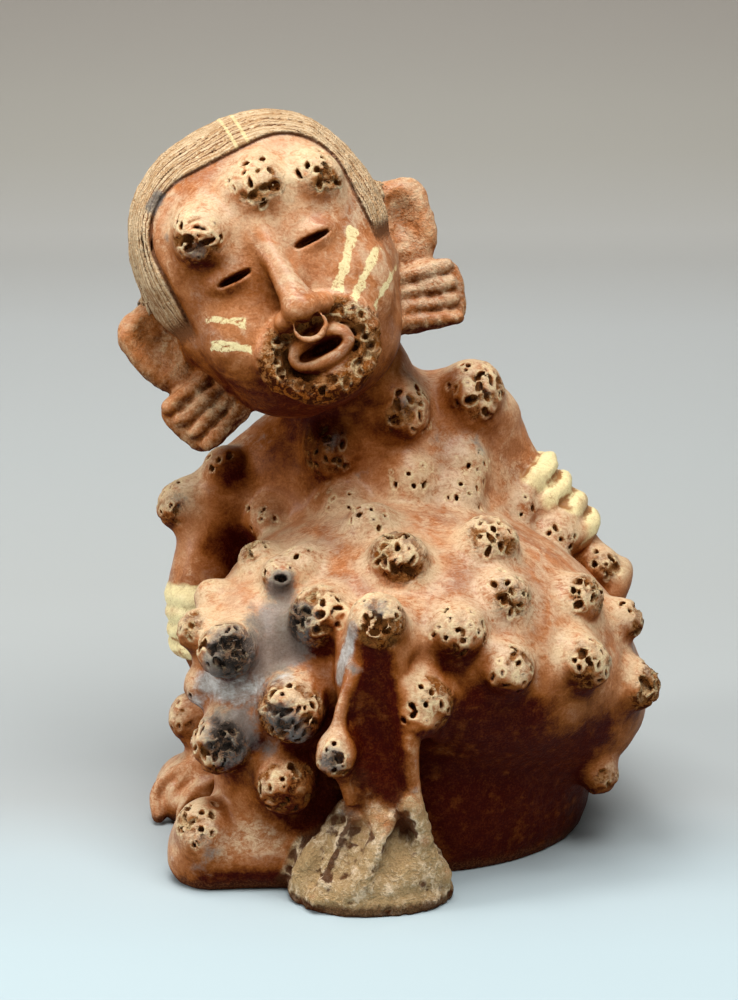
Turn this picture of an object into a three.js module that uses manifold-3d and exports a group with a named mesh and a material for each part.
// A squatting man of hand-built, hollow, fired clay, covered all over with round pitted growths.
// The whole figure is one piece of clay, so it is one solid, in one mesh.
// Frame: millimetres, +Z up, the ground at z = 0, x to the right and y away from whoever faces the figure.
// The origin lies on the ground, under the middle of the figure's box.
import * as THREE from "three";
import { mergeVertices } from "three/addons/utils/BufferGeometryUtils.js";
import Module from "manifold-3d";

const wasm = await Module();
wasm.setup();

// The clay's colour and finish: a burnished red-brown slip.
const SLIP_COLOUR = 0xb9714a;
const SLIP_ROUGHNESS = 0.55;

// Where the figure's own axis stands in the frame that its sizes are given in.
const MIDDLE = new THREE.Vector3(1.5, 8.6, 0);

// The view that the growths are read from: how far off and how high the eye is, and the picture's scale.
const EYE_HEIGHT_ANGLE = THREE.MathUtils.degToRad(15);
const EYE_DISTANCE = 925.9;
const EYE_TARGET = new THREE.Vector3(-6.2, 0, 117);
const FOCAL_PX = 2777.8;
const PICTURE_MIDDLE_PX = [369, 500];
const INWARD_STEPS = 40;
const INWARD_SHARE = 0.25;

// No part of the figure is further than this from its middle.
const FAR = 300;
const HALVINGS = 24;

// Body: one smooth skin over the low seat, the mass of the drawn-up thighs, the left hip, the front of
// the knees, the trunk, the bent back and the sloping shoulders.
const BODY_HEART = [4, 24, 76];
const SEAT = { at: [8, 22, 26], radii: [65, 67, 70] };
const THIGHS = { at: [16, -2, 71], radii: [68, 55, 44], turn: [0, 15, 0] };
const HIP = { at: [57, 4, 48], radii: [31, 36, 29] };
const TRUNK = { at: [-4, 32, 108], radii: [49, 34, 46], turn: [0, -14, 0] };
const BACK = { at: [5, 44, 76], radii: [57, 42, 64], turn: [8, 0, 0] };
const SHOULDERS = { at: [-9, 29, 128], radii: [55, 18, 20], turn: [0, -15, 0] };
const BODY_BLEND = 18;
const NECK = { at: [-12, 21, 150], radii: [22, 21, 36], turn: [14, -18, 0] };

// Arms, from the shoulder down, and the hands. The figure's right arm is on the left as one faces it.
const RIGHT_ARM = [
  { at: [-54, 24, 112], radius: 13.5 },
  { at: [-60, 20, 94], radius: 12.5 },
  { at: [-63, 18, 72], radius: 12 },
  { at: [-54, 16, 44], radius: 10 },
  { at: [-62, 14, 14], radius: 10 },
];
const RIGHT_HAND = { at: [-67, 16, 9], radii: [14, 19, 12], turn: [0, -16, 14] };
const LEFT_ARM = [
  { at: [26, 32, 140], radius: 15 },
  { at: [36, 35, 130], radius: 11.5 },
  { at: [45, 36, 118], radius: 9.5 },
  { at: [62, 36, 95], radius: 9 },
  { at: [73, 33, 82], radius: 8 },
];
const LEFT_HAND = { at: [78, 30, 77], radii: [6, 10, 12], turn: [0, 24, 0] };
const BAND_SWELL = 2.8;
const LEFT_BANDS = { from: [43.5, 36, 121], to: [63, 36, 94], count: 4, radius: 10.4 };
const RIGHT_BANDS = { from: [-62.5, 18, 83], to: [-61, 17, 59], count: 4, radius: 10.8 };

// Legs: the left leg stands in front, the right leg at the side with its foot turned out.
const LEFT_LEG = [
  { at: [22, -22, 74], radius: 17 },
  { at: [-3, -54, 84], radius: 12.5 },
  { at: [-3.5, -60, 58], radius: 12.5 },
  { at: [-1.5, -58, 32], radius: 11.5 },
];
const LEFT_FOOT = {
  joints: [{ at: [-4, -58, 30], radius: 8.5 }, { at: [-5.5, -59, 7], radius: 19 }],
  widen: 1.42,
};
const RIGHT_LEG = [
  { at: [-34, -14, 80], radius: 24 },
  { at: [-44, -30, 74], radius: 20 },
  { at: [-38, -34, 50], radius: 21 },
  { at: [-37, -34, 20], radius: 19 },
];
const BETWEEN_KNEES = { at: [-24, -36, 62], radii: [20, 19, 30] };
const RIGHT_FOOT = [
  { at: [-57, -42, 10], radius: 15.5 },
  { at: [-24, -41, 12], radius: 16 },
];

// Head: its middle, how it leans, turns and looks up. Then its parts, in the head's own upright frame:
// the hair rises to 53 over the middle, the chin lies 50 under it, the eyes halfway between the two.
const HEAD_MIDDLE = [-37.5, 1, 195];
const HEAD_LEAN = THREE.MathUtils.degToRad(-26);
const HEAD_TURN = THREE.MathUtils.degToRad(9);
const HEAD_LIFT = THREE.MathUtils.degToRad(-11);
const SKULL = { at: [0, 0, 5], radii: [41, 36.5, 45], squareness: 2.35 };
const JAW = { at: [0, -7, -24], radii: [31, 27, 26], squareness: 2.2 };
const HEAD_HEART = [0, -4, 0];
const HEAD_BLEND = 22;
const HAIR_THICKNESS = 2.6;
const HAIR_GROOVE = 2.1;
const HAIR_LOCKS = 10;
const FRINGE_HEIGHT = 37;
const HAIR_HALF_OPENING = 33;
const HAIR_EDGE_DEPTH = -2;
const NAPE_HEIGHT = -22;
const EYE = { at: [14, -31, 2], radii: [9, 6, 5] };
const EYE_SLIT = { radii: [6.5, 8, 0.9], drop: -1 };
const BRIDGE = [
  { at: [0, -34, 8], radius: 4 },
  { at: [0, -41, -17], radius: 6 },
];
const NOSTRIL = { at: [5.5, -37, -19], radii: [4, 5, 4] };
const NOSE_RING = { at: [0, -43, -21], radius: 4.4, thickness: 1.5 };
const LIPS = { at: [0, -35.5, -31], width: 9, height: 4.6, thickness: 2.8 };
const MOUTH_GROWTH = { at: [0, -33, -31], width: 16, height: 12, thickness: 4 };
const CHEEK = { at: [20, -24, -17], radii: [12, 9, 13] };
const CHIN = { at: [0, -28, -42], radii: [11, 8, 7] };
const EAR = { at: [43, 0, -5], radii: [10, 5.5, 13.5], turn: [0, 14, 0] };
const ORNAMENT = { at: [39, -1, -30.5], radii: [14.5, 4.5, 11.5], turn: [0, 16, 0], squareness: 3.5 };
const FINGERS = { count: 4, radius: 3.1, from: -11, to: 9.5, proud: 3.6 };

// Growths: round pellets of clay. Each row is one that shows: where its middle lies in the picture
// and its half width there, in picture points.
const FOREHEAD_GROWTHS = [[257, 185, 24], [318, 175, 22], [200, 238, 26]];
const CHEST_GROWTHS = [[403, 413, 25], [475, 393, 28], [332, 450, 25], [175, 507, 23], [222, 465, 14]];
const LAP_RIM_GROWTHS = [
  [340, 505, 17], [370, 523, 20], [410, 485, 22], [465, 475, 20], [462, 497, 20], [520, 505, 14],
  [268, 520, 16], [258, 560, 18], [282, 580, 17], [302, 563, 15],
];
const LAP_GROWTHS = [
  [400, 560, 26], [488, 545, 26], [553, 540, 20], [505, 600, 20], [578, 600, 22], [620, 628, 18],
  [460, 635, 24], [508, 670, 22], [580, 663, 24], [632, 685, 20], [320, 620, 27], [600, 560, 15],
];
const LEG_GROWTHS = [
  [376, 625, 22], [232, 652, 27], [202, 632, 18], [212, 597, 11], [195, 692, 9], [195, 720, 18],
  [232, 740, 25], [293, 708, 29], [287, 778, 27], [418, 705, 26], [337, 755, 16], [200, 825, 22],
];
const SEAT_GROWTHS = [[598, 772, 14]];
const SEEN_GROWTHS = [
  ...FOREHEAD_GROWTHS, ...CHEST_GROWTHS, ...LAP_RIM_GROWTHS, ...LAP_GROWTHS, ...LEG_GROWTHS, ...SEAT_GROWTHS,
];

// The far side has fewer growths, strewn at even steps of bearing but at scattered heights.
const FAR_GROWTHS = { radius: 6.2, spread: 2.4, count: 14, bearings: [22, 186], heights: [30, 128] };
const GOLDEN_STEP = 0.618;

function solid(geometry) {
  geometry.deleteAttribute("normal");
  geometry.deleteAttribute("uv");
  const closed = mergeVertices(geometry, 1e-4);
  return new wasm.Manifold(new wasm.Mesh({
    numProp: 3,
    vertProperties: closed.attributes.position.array,
    triVerts: new Uint32Array(closed.index.array),
  }));
}

function together(solids) {
  return solids.reduce((whole, next) => whole.add(next));
}

function geometryOf(made) {
  const { vertProperties, triVerts } = made.getMesh();
  const geometry = new THREE.BufferGeometry();
  geometry.setAttribute("position", new THREE.BufferAttribute(vertProperties, 3));
  geometry.setIndex(new THREE.BufferAttribute(triVerts, 1));
  return geometry;
}

function moved(made, matrix) {
  return solid(geometryOf(made).applyMatrix4(matrix));
}

function degrees(turn = [0, 0, 0]) {
  return new THREE.Euler(...turn.map(THREE.MathUtils.degToRad));
}

// A rounded mass: a ball stretched to three half sizes, squarer than an ellipsoid where squareness is over 2.
function mass({ at, radii, turn, squareness = 2 }, across = 24, high = 16) {
  const ball = new THREE.SphereGeometry(1, across, high).rotateX(Math.PI / 2);
  const place = ball.attributes.position;
  const v = new THREE.Vector3();
  for (let i = 0; i < place.count; i++) {
    v.fromBufferAttribute(place, i);
    const sum = [v.x, v.y, v.z].reduce((s, c) => s + Math.abs(c) ** squareness, 0);
    v.multiplyScalar(sum ** (-1 / squareness)).multiply(new THREE.Vector3(...radii));
    place.setXYZ(i, v.x, v.y, v.z);
  }
  const turned = new THREE.Matrix4().makeRotationFromEuler(degrees(turn)).setPosition(...at);
  return solid(ball.applyMatrix4(turned));
}

// A limb that bends through its joints, each with its own radius: a capsule laid along a curve.
function limb(joints, sides = 9, rings = 2) {
  const curve = new THREE.CatmullRomCurve3(joints.map((j) => new THREE.Vector3(...j.at)));
  const count = (joints.length - 1) * rings;
  const frames = curve.computeFrenetFrames(count);
  const capsule = new THREE.CapsuleGeometry(1, 1, 2, sides, count);
  const place = capsule.attributes.position;
  const v = new THREE.Vector3();
  for (let i = 0; i < place.count; i++) {
    v.fromBufferAttribute(place, i);
    const t = THREE.MathUtils.clamp(v.y + 0.5, 0, 1);
    const beyond = v.y - THREE.MathUtils.clamp(v.y, -0.5, 0.5);
    const joint = Math.min(Math.floor(t * (joints.length - 1)), joints.length - 2);
    const part = THREE.MathUtils.smoothstep(t * (joints.length - 1) - joint, 0, 1);
    const radius = THREE.MathUtils.lerp(joints[joint].radius, joints[joint + 1].radius, part);
    const ring = Math.round(t * count);
    const at = curve.getPoint(t)
      .addScaledVector(frames.normals[ring], v.x * radius)
      .addScaledVector(frames.binormals[ring], -v.z * radius)
      .addScaledVector(frames.tangents[ring], beyond * radius);
    place.setXYZ(i, at.x, at.y, at.z);
  }
  return solid(capsule);
}

// How far a straight line from a point leaves a rounded mass, or nothing where it misses it.
function reach({ at, radii, turn, squareness = 2 }, from, direction) {
  const back = new THREE.Quaternion().setFromEuler(degrees(turn)).invert();
  const size = new THREE.Vector3(...radii);
  const start = from.clone().sub(new THREE.Vector3(...at)).applyQuaternion(back).divide(size);
  const way = direction.clone().applyQuaternion(back).divide(size);
  const inside = (t) => {
    const q = start.clone().addScaledVector(way, t);
    return Math.abs(q.x) ** squareness + Math.abs(q.y) ** squareness + Math.abs(q.z) ** squareness < 1;
  };
  const nearest = -start.dot(way) / way.lengthSq();
  if (!inside(Math.max(nearest, 0))) return 0;
  let [low, high] = [Math.max(nearest, 0), FAR];
  for (let i = 0; i < HALVINGS; i++) {
    const middle = (low + high) / 2;
    if (inside(middle)) low = middle;
    else high = middle;
  }
  return low;
}

// One skin over several masses, as clay is smoothed over its joins: a ball whose points move out from
// the heart to the outermost mass, and a little further where two masses meet.
function skin(masses, heart, blend, across, high) {
  const ball = new THREE.SphereGeometry(1, across, high).rotateX(Math.PI / 2);
  const place = ball.attributes.position;
  const from = new THREE.Vector3(...heart);
  const way = new THREE.Vector3();
  for (let i = 0; i < place.count; i++) {
    way.fromBufferAttribute(place, i).normalize();
    const sum = masses.reduce((s, m) => s + reach(m, from, way) ** blend, 0);
    way.multiplyScalar(sum ** (1 / blend)).add(from);
    place.setXYZ(i, way.x, way.y, way.z);
  }
  return solid(ball);
}

// Rolls of clay laid round an arm, one against the next: a sleeve whose outline swells once for each.
function bands({ from, to, count, radius }) {
  const start = new THREE.Vector3(...from);
  const along = new THREE.Vector3(...to).sub(start);
  const roll = along.length() / count;
  const profile = [[0, 0], [radius, 0]];
  for (let i = 0; i < count; i++) {
    profile.push([radius + BAND_SWELL, (i + 0.5) * roll]);
    profile.push([radius, (i + 1) * roll]);
  }
  profile.push([0, count * roll]);
  const sleeve = new THREE.LatheGeometry(profile.map(([r, h]) => new THREE.Vector2(r, h)), 10);
  const turn = new THREE.Quaternion().setFromUnitVectors(new THREE.Vector3(0, 1, 0), along.normalize());
  return solid(sleeve.applyQuaternion(turn).translate(...start.toArray()));
}

function body() {
  const masses = [SEAT, THIGHS, HIP, TRUNK, BACK, SHOULDERS, BETWEEN_KNEES];
  return together([
    skin(masses, BODY_HEART, BODY_BLEND, 28, 17),
    mass(NECK, 12, 8),
    limb(RIGHT_ARM),
    mass(RIGHT_HAND, 12, 6),
    limb(LEFT_ARM),
    mass(LEFT_HAND, 10, 6),
    bands(LEFT_BANDS),
    bands(RIGHT_BANDS),
    limb(LEFT_LEG),
    widened(LEFT_FOOT),
    limb(RIGHT_LEG, 10),
    limb(RIGHT_FOOT),
  ]);
}

// A foot that is broader than it is long: a limb stretched sideways about its own middle.
function widened({ joints, widen }) {
  const middle = joints.at(-1).at[0];
  const stretch = new THREE.Matrix4().makeScale(widen, 1, 1).setPosition(middle * (1 - widen), 0, 0);
  return moved(limb(joints, 13, 3), stretch);
}

function mirrored(at) {
  return [-at[0], at[1], at[2]];
}

function bothSides(make) {
  return make(1).add(make(-1));
}

function onSide({ at, turn = [0, 0, 0], ...rest }, side) {
  return { ...rest, at: side > 0 ? at : mirrored(at), turn: [turn[0], turn[1] * side, turn[2] * side] };
}

// Hair: a cap just outside the skull, combed in locks that run over the head from ear to ear.
function hair() {
  const rows = HAIR_LOCKS * 2;
  const ball = new THREE.SphereGeometry(1, 18, rows);
  const place = ball.attributes.position;
  const v = new THREE.Vector3();
  for (let i = 0; i < place.count; i++) {
    v.fromBufferAttribute(place, i);
    const row = Math.round((Math.acos(THREE.MathUtils.clamp(v.y, -1, 1)) / Math.PI) * rows);
    const sum = [v.x, v.y, v.z].reduce((s, c) => s + Math.abs(c) ** SKULL.squareness, 0);
    const out = HAIR_THICKNESS - (row % 2 ? HAIR_GROOVE : 0);
    v.multiplyScalar(sum ** (-1 / SKULL.squareness));
    v.multiply(new THREE.Vector3(...SKULL.radii.map((r) => r + out)));
    place.setXYZ(i, v.x, v.y, v.z);
  }
  const cap = solid(ball.translate(...SKULL.at));
  const deep = 60;
  const high = FRINGE_HEIGHT + deep;
  const face = new THREE.BoxGeometry(2 * HAIR_HALF_OPENING, deep, high);
  const nape = new THREE.BoxGeometry(2 * deep, 2 * deep, deep);
  return cap
    .subtract(solid(face.translate(0, HAIR_EDGE_DEPTH - deep / 2, FRINGE_HEIGHT - high / 2)))
    .subtract(solid(nape.translate(0, 0, NAPE_HEIGHT - deep / 2)));
}

function nose() {
  const ring = new THREE.TorusGeometry(NOSE_RING.radius, NOSE_RING.thickness, 4, 8);
  return together([
    limb(BRIDGE, 6, 1),
    bothSides((side) => mass(onSide(NOSTRIL, side), 6, 4)),
    solid(ring.rotateX(Math.PI / 2).rotateX(Math.PI / 5).translate(...NOSE_RING.at)),
  ]);
}

function ringOnFace({ at, width, height, thickness }) {
  const ring = new THREE.TorusGeometry(1, thickness / width, 5, 12);
  return solid(ring.scale(width, height, width).rotateX(Math.PI / 2).translate(...at));
}

function eyelids() {
  return bothSides((side) => {
    const [x, y, z] = EYE.at;
    const slit = { at: [side * x, y - EYE.radii[1], z + EYE_SLIT.drop], radii: EYE_SLIT.radii };
    return mass(onSide(EYE, side), 8, 6).subtract(mass(slit, 6, 4));
  });
}

// An ear ornament: a thick plate of clay under the ear, with rolls like fingers laid over its front.
function ornament(side) {
  const plate = onSide(ORNAMENT, side);
  const pose = new THREE.Matrix4().makeRotationFromEuler(degrees(plate.turn)).setPosition(...plate.at);
  const rolls = Array.from({ length: FINGERS.count }, (_, i) => {
    const level = ((i + 0.5) / FINGERS.count - 0.5) * 2 * ORNAMENT.radii[2];
    return limb([FINGERS.from, FINGERS.to].map((out) => {
      const at = new THREE.Vector3(out * side, -FINGERS.proud, level).applyMatrix4(pose);
      return { at: at.toArray(), radius: FINGERS.radius };
    }), 5, 1);
  });
  return mass(plate, 10, 6).add(together(rolls));
}

function head() {
  const masses = [SKULL, JAW, CHIN, onSide(CHEEK, 1), onSide(CHEEK, -1)];
  const parts = [
    skin(masses, HEAD_HEART, HEAD_BLEND, 22, 15),
    hair(),
    nose(),
    ringOnFace(LIPS),
    ringOnFace(MOUTH_GROWTH),
    eyelids(),
    bothSides((side) => mass(onSide(EAR, side), 10, 6)),
    ornament(1),
    ornament(-1),
  ];
  const turn = new THREE.Euler(HEAD_LIFT, HEAD_LEAN, HEAD_TURN, "YZX");
  const place = new THREE.Matrix4().makeRotationFromEuler(turn).setPosition(...HEAD_MIDDLE);
  return moved(together(parts), place);
}

// One growth: a blunt dome whose foot is pressed into the clay that it sits on.
function growth(at, outward, radius) {
  const profile = [[0, -0.5], [1, 0.1], [0.7, 0.74], [0, 1]];
  const dome = new THREE.LatheGeometry(profile.map(([r, h]) => new THREE.Vector2(r * radius, h * radius)), 6);
  const turn = new THREE.Quaternion().setFromUnitVectors(new THREE.Vector3(0, 1, 0), outward);
  return solid(dome.applyQuaternion(turn).translate(at.x, at.y, at.z));
}

// Finds the clay in front of the eye at a picture point. A point just outside the figure moves in
// towards its middle until it meets the clay.
function seatInView(u, v, caster, body) {
  const look = new THREE.Vector3(0, Math.cos(EYE_HEIGHT_ANGLE), -Math.sin(EYE_HEIGHT_ANGLE));
  const up = new THREE.Vector3(0, Math.sin(EYE_HEIGHT_ANGLE), Math.cos(EYE_HEIGHT_ANGLE));
  const eye = EYE_TARGET.clone().addScaledVector(look, -EYE_DISTANCE);
  for (let i = 0; i <= INWARD_STEPS; i++) {
    const inward = 1 - (INWARD_SHARE * i) / INWARD_STEPS;
    const x = (u - PICTURE_MIDDLE_PX[0]) * inward;
    const y = (PICTURE_MIDDLE_PX[1] - v) * inward;
    const ray = look.clone().addScaledVector(up, y / FOCAL_PX);
    ray.x += x / FOCAL_PX;
    caster.set(eye, ray.normalize());
    const hit = caster.intersectObject(body)[0];
    if (hit) return hit;
  }
  throw new Error("no clay at " + u + ", " + v);
}

function growths(base) {
  const body = meshOf(base, "seat of the growths", clay);
  const caster = new THREE.Raycaster();
  const pellets = [];
  for (const [u, v, halfWidth] of SEEN_GROWTHS) {
    const hit = seatInView(u, v, caster, body);
    const radius = (halfWidth * hit.distance) / FOCAL_PX;
    pellets.push(growth(hit.point, hit.face.normal, radius));
  }
  const { radius, spread, count, bearings, heights } = FAR_GROWTHS;
  for (let i = 0; i < count; i++) {
    const scatter = (i * GOLDEN_STEP) % 1;
    const bearing = THREE.MathUtils.degToRad(THREE.MathUtils.lerp(...bearings, i / (count - 1)));
    const out = new THREE.Vector3(Math.cos(bearing), Math.sin(bearing), 0);
    const level = THREE.MathUtils.lerp(...heights, scatter);
    const from = new THREE.Vector3(BODY_HEART[0], BODY_HEART[1], level).addScaledVector(out, FAR);
    caster.set(from, out.clone().negate());
    const hit = caster.intersectObject(body)[0];
    pellets.push(growth(hit.point, hit.face.normal, radius + spread * ((i * GOLDEN_STEP * 3) % 1)));
  }
  return together(pellets);
}

// What lies under the ground plane comes off, which leaves the soles and the seat flat.
function ground() {
  return solid(new THREE.BoxGeometry(FAR * 2, FAR * 2, FAR).translate(0, 0, -FAR / 2));
}

function meshOf(made, name, material) {
  const geometry = geometryOf(made);
  geometry.computeVertexNormals();
  const mesh = new THREE.Mesh(geometry, material);
  mesh.name = name;
  return mesh;
}

const clay = new THREE.MeshStandardMaterial({ color: SLIP_COLOUR, roughness: SLIP_ROUGHNESS, metalness: 0 });
const smooth = body().add(head());
const whole = smooth.add(growths(smooth)).subtract(ground());
const figure = meshOf(whole, "figure", clay);
figure.position.copy(MIDDLE).negate();

const part = new THREE.Group();
part.add(figure);

export default part;
